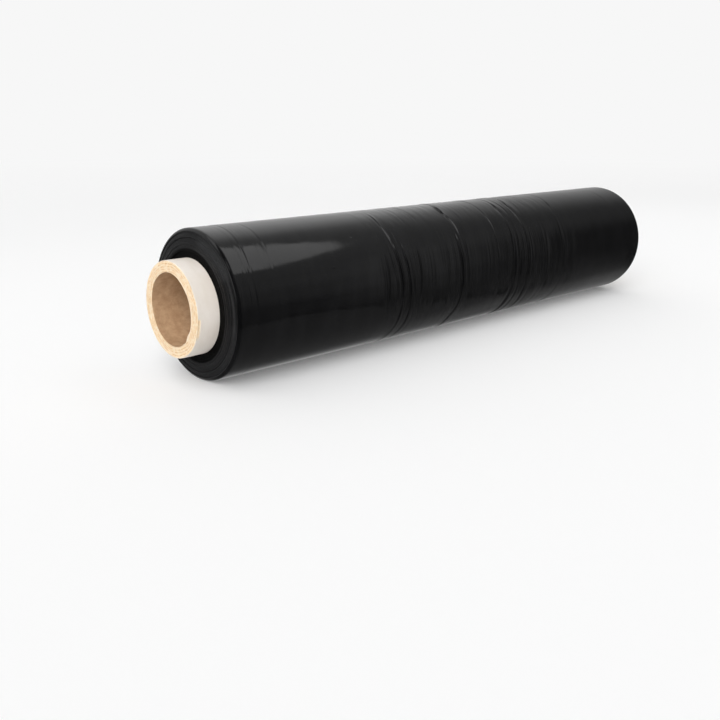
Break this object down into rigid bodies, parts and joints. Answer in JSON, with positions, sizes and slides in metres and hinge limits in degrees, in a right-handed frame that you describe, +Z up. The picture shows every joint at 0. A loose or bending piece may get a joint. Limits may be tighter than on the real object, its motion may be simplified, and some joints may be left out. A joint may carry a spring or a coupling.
{
  "type": "stretch wrap roll",
  "caption": "Roll of black stretch wrap film wound on a paperboard core that stands out at both ends, lying on its side.",
  "frame": {"origin": "on the floor, under the middle of the roll, which lies on its side", "axes": "+X along the roll's axis, +Z up"},
  "size_m": [0.532, 0.106, 0.1055],
  "materials": {
    "stretch_film": "glossy black film, wound tight, with fine creases round the roll",
    "core_board": "matte board: white outer ply, cream cut ends, brown kraft bore"
  },
  "bodies": {
    "root": {"film_roll": "stretch_film", "core_tube": "core_board"}
  },
  "joints": []
}
